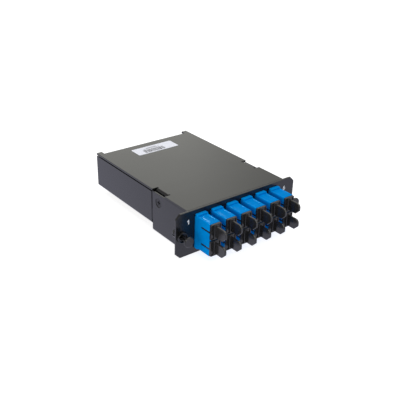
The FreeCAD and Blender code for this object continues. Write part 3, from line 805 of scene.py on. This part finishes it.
class ADAPTERPANEL_OT_rear_port(bpy.types.Operator):
    """Multi-fibre adapter in the rear wall with its screws and cap"""

    bl_idname = "adapter_panel.rear_port"
    bl_label = "Rear port"

    def execute(self, context):
        s = settings()
        black = moulding(
            "rear_adapter_black",
            s.finishes.moulded_black,
            rough=(0.36, 0.5),
            grain_scale=1500,
            grain_strength=0.14,
        )
        soft = moulding(
            "rear_cap_black",
            s.finishes.cap_black,
            rough=(0.42, 0.56),
            grain_scale=1800,
            grain_strength=0.2,
        )
        steel = turned_steel(
            "rear_screw_steel", s.finishes.screw_steel, rough=(0.22, 0.4), metallic=1.0
        )
        for node, width, finish, slot in (
            ("multifibre_adapter", s.edges.cap, black, "adapter_black"),
            ("multifibre_cap", s.edges.cap, soft, "cap_black"),
            ("multifibre_screws", s.edges.screw, steel, "screw_steel"),
        ):
            piece = clean_copy(node, "dressed_" + node)
            break_edges(piece, width, segments=2)
            smooth(piece)
            seat(piece, node, finish)
        return {"FINISHED"}


class ADAPTERPANEL_OT_inside(bpy.types.Operator):
    """Finishes of the pieces inside the housing"""

    bl_idname = "adapter_panel.inside"
    bl_label = "Inside"

    def execute(self, context):
        s = settings()
        plug = moulding(
            "inner_plug_blue",
            s.finishes.plug_blue,
            rough=(0.3, 0.42),
            grain_scale=800,
            grain_strength=0.08,
        )
        black = moulding(
            "fan_out_black",
            s.finishes.moulded_black,
            rough=(0.4, 0.52),
            grain_scale=1500,
            grain_strength=0.14,
        )
        jacket = moulding(
            "fibre_jacket",
            s.finishes.fibre_yellow,
            rough=(0.35, 0.5),
            grain_scale=900,
            grain_strength=0.08,
        )
        ceramic = moulding(
            "sleeve_ceramic",
            s.finishes.sleeve_white,
            rough=(0.12, 0.2),
            grain_scale=900,
            grain_strength=0.03,
            dark=0.97,
            light=1.03,
        )
        for nodes, finish in (
            (INNER_PLUGS, plug),
            (["alignment_sleeves"], ceramic),
            (["fibre_loom", "ribbon"], jacket),
            (["fan_out_block", "multifibre_plug"], black),
        ):
            for node in nodes:
                finish_node(node, finish)
        return {"FINISHED"}


class ADAPTERPANEL_OT_stage(bpy.types.Operator):
    """White floor and surround, soft lights and the camera"""

    bl_idname = "adapter_panel.stage"
    bl_label = "Stage"

    def execute(self, context):
        s = settings().stage
        scene = context.scene
        self.surround(scene, s)
        self.floor(s)
        self.lights(s)
        self.photo_camera(scene, s)
        scene.view_settings.view_transform = "Standard"
        return {"FINISHED"}

    def surround(self, scene, s):
        """White to the camera, a warm studio wall in reflections, and soft ambient light."""
        world = bpy.data.worlds.new("white_surround")
        scene.world = world
        world.use_nodes = True
        nodes, links = world.node_tree.nodes, world.node_tree.links
        path = nodes.new("ShaderNodeLightPath").outputs
        lit = nodes["Background"]
        lit.inputs["Color"].default_value = WHITE
        lit.inputs["Strength"].default_value = s.ambient
        wall = nodes.new("ShaderNodeBackground")
        wall.inputs["Color"].default_value = WALL_COLOUR
        links.new(self.wall_strength(nodes, links, s), wall.inputs["Strength"])
        white = nodes.new("ShaderNodeBackground")
        white.inputs["Color"].default_value = WHITE
        white.inputs["Strength"].default_value = 1.0
        shader = lit.outputs["Background"]
        for ray, seen in (
            ("Is Glossy Ray", wall),
            ("Is Transmission Ray", white),
            ("Is Camera Ray", white),
        ):
            mix = nodes.new("ShaderNodeMixShader")
            links.new(path[ray], mix.inputs["Fac"])
            links.new(shader, mix.inputs[1])
            links.new(seen.outputs["Background"], mix.inputs[2])
            shader = mix.outputs["Shader"]
        links.new(shader, nodes["World Output"].inputs["Surface"])

    def wall_strength(self, nodes, links, s):
        """The wall's level: it falls off to the far right, overhead and on the left."""
        axes = nodes.new("ShaderNodeSeparateXYZ")
        links.new(nodes.new("ShaderNodeTexCoord").outputs["Generated"], axes.inputs["Vector"])
        x, z = axes.outputs["X"], axes.outputs["Z"]
        far = WALL_FAR_SHARE * s.wall_level
        strength = spread(nodes, links, x, low=s.wall_level, high=far, start=0.55, end=0.66)
        above = spread(nodes, links, z, low=1.0, high=0.7, start=0.5, end=0.62)
        beside = spread(nodes, links, x, low=0.35, high=1.0, start=0.05, end=0.36)
        for share in (above, beside):
            product = nodes.new("ShaderNodeMath")
            product.operation = "MULTIPLY"
            links.new(strength, product.inputs[0])
            links.new(share, product.inputs[1])
            strength = product.outputs[0]
        return strength

    def floor(self, s):
        """Pale floor under the panel that keeps its shadow."""
        deselect()
        bpy.ops.mesh.primitive_plane_add(size=FLOOR_SIZE, location=(0.0, 0.0, CAD_BOX[0][2]))
        floor = bpy.context.object
        floor.name = "pale_floor"
        material, nodes, links, shader = new_material("pale_floor")
        shader.inputs["Base Color"].default_value = FLOOR_GREY
        shader.inputs["Roughness"].default_value = 0.9
        shader.inputs["Specular IOR Level"].default_value = 0.0
        shader.inputs["Emission Color"].default_value = WHITE
        path = nodes.new("ShaderNodeLightPath").outputs
        seen = path["Is Camera Ray"]
        glow = spread(nodes, links, seen, low=s.floor_bounce, high=FLOOR_GLOW, start=0.0, end=1.0)
        links.new(glow, shader.inputs["Emission Strength"])
        sheen = nodes.new("ShaderNodeEmission")
        sheen.inputs["Color"].default_value = FLOOR_SHEEN
        sheen.inputs["Strength"].default_value = s.floor_level
        mix = nodes.new("ShaderNodeMixShader")
        links.new(path["Is Glossy Ray"], mix.inputs["Fac"])
        links.new(shader.outputs["BSDF"], mix.inputs[1])
        links.new(sheen.outputs["Emission"], mix.inputs[2])
        links.new(mix.outputs["Shader"], nodes["Material Output"].inputs["Surface"])
        floor.data.materials.append(material)
        deselect()

    def lights(self, s):
        """Two soft lights for the whole panel, and two that only add gloss to small pieces."""
        self.soft_light(
            "key_light",
            place=(0.3, -0.05, 1.0),
            aim=(0.0, 0.03, 0.0),
            size=1.2,
            watts=s.key_power,
        )
        side = self.soft_light(
            "side_light", place=(-1.0, -0.16, 0.2), size=0.9, watts=s.side_power
        )
        side.visible_glossy = False
        rims = self.soft_light(
            "front_light", place=(-0.62, -0.74, 0.56), size=0.5, watts=s.front_power
        )
        rims.data.color = RIM_COLOUR
        self.gloss_only(rims, "rimmed_pieces", DUST_CAPS + GROMMETS + PLUNGERS)
        glint = self.soft_light(
            "glint_light", place=(0.31, 0.68, 0.66), size=0.14, watts=s.glint_power
        )
        glint.data.color = GLINT_COLOUR
        self.gloss_only(glint, "glinting_pieces", ADAPTERS)

    def soft_light(self, name, place, size, watts, aim=(0.0, 0.0, 0.0)):
        """A square soft light aimed at a point; gives the light."""
        data = bpy.data.lights.new(name, "AREA")
        data.shape = "SQUARE"
        data.size = size
        data.energy = watts
        light = bpy.data.objects.new(name, data)
        bpy.context.scene.collection.objects.link(light)
        light.location = place
        light.rotation_euler = (Vector(place) - Vector(aim)).to_track_quat("Z", "Y").to_euler()
        return light

    def gloss_only(self, light, name, nodes):
        """Let a light show only as gloss on some of the pieces."""
        light.visible_diffuse = False
        light.light_linking.receiver_collection = bpy.data.collections.new(name)
        for node in nodes:
            piece = bpy.data.objects["dressed_" + node]
            light.light_linking.receiver_collection.objects.link(piece)

    def photo_camera(self, scene, s):
        """The camera at the photo's place, turn and lens."""
        data = bpy.data.cameras.new("photo_camera")
        camera = bpy.data.objects.new("photo_camera", data)
        scene.collection.objects.link(camera)
        back = Vector(
            (
                math.sin(s.azimuth) * math.cos(s.elevation),
                -math.cos(s.azimuth) * math.cos(s.elevation),
                math.sin(s.elevation),
            )
        )
        level_line = Vector((math.cos(s.azimuth), math.sin(s.azimuth), 0.0))
        right = math.cos(s.roll) * level_line + math.sin(s.roll) * back.cross(level_line)
        turn = Matrix((right, back.cross(right), back)).transposed().to_4x4()
        camera.matrix_world = Matrix.Translation(s.eye) @ turn
        data.lens = s.lens
        data.sensor_width = 36.0
        data.clip_start = 0.01
        data.clip_end = 50.0
        scene.camera = camera


OPERATORS = (
    ADAPTERPANEL_OT_faceplate,
    ADAPTERPANEL_OT_housing,
    ADAPTERPANEL_OT_side_screws,
    ADAPTERPANEL_OT_label,
    ADAPTERPANEL_OT_adapters,
    ADAPTERPANEL_OT_dust_caps,
    ADAPTERPANEL_OT_latches,
    ADAPTERPANEL_OT_rear_port,
    ADAPTERPANEL_OT_inside,
    ADAPTERPANEL_OT_stage,
)


class ADAPTERPANEL_PT_sidebar(bpy.types.Panel):
    """Sizes, finishes and steps of the adapter panel"""

    bl_idname = "ADAPTERPANEL_PT_sidebar"
    bl_label = "Adapter panel"
    bl_space_type = "VIEW_3D"
    bl_region_type = "UI"
    bl_category = "Adapter panel"

    def draw(self, context):
        s = settings()
        for group in (s.edges, s.prints, s.finishes, s.stage):
            box = self.layout.box()
            for name in group.__annotations__:
                box.prop(group, name)
        for operator in OPERATORS:
            self.layout.operator(operator.bl_idname)


CLASSES = (
    EdgeSizes,
    PrintSizes,
    Finishes,
    StageSettings,
    PanelSettings,
    *OPERATORS,
    ADAPTERPANEL_PT_sidebar,
)


def register():
    """Add the classes and the scene's settings."""
    for cls in CLASSES:
        bpy.utils.register_class(cls)
    bpy.types.Scene.adapter_panel = PointerProperty(type=PanelSettings)


def unregister():
    """Remove the settings and the classes."""
    del bpy.types.Scene.adapter_panel
    for cls in reversed(CLASSES):
        bpy.utils.unregister_class(cls)


def main():
    """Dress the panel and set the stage."""
    register()
    bpy.ops.adapter_panel.faceplate()
    bpy.ops.adapter_panel.housing()
    bpy.ops.adapter_panel.side_screws()
    bpy.ops.adapter_panel.label()
    bpy.ops.adapter_panel.adapters()
    bpy.ops.adapter_panel.dust_caps()
    bpy.ops.adapter_panel.latches()
    bpy.ops.adapter_panel.rear_port()
    bpy.ops.adapter_panel.inside()
    bpy.ops.adapter_panel.stage()


if __name__ == "__main__":
    main()
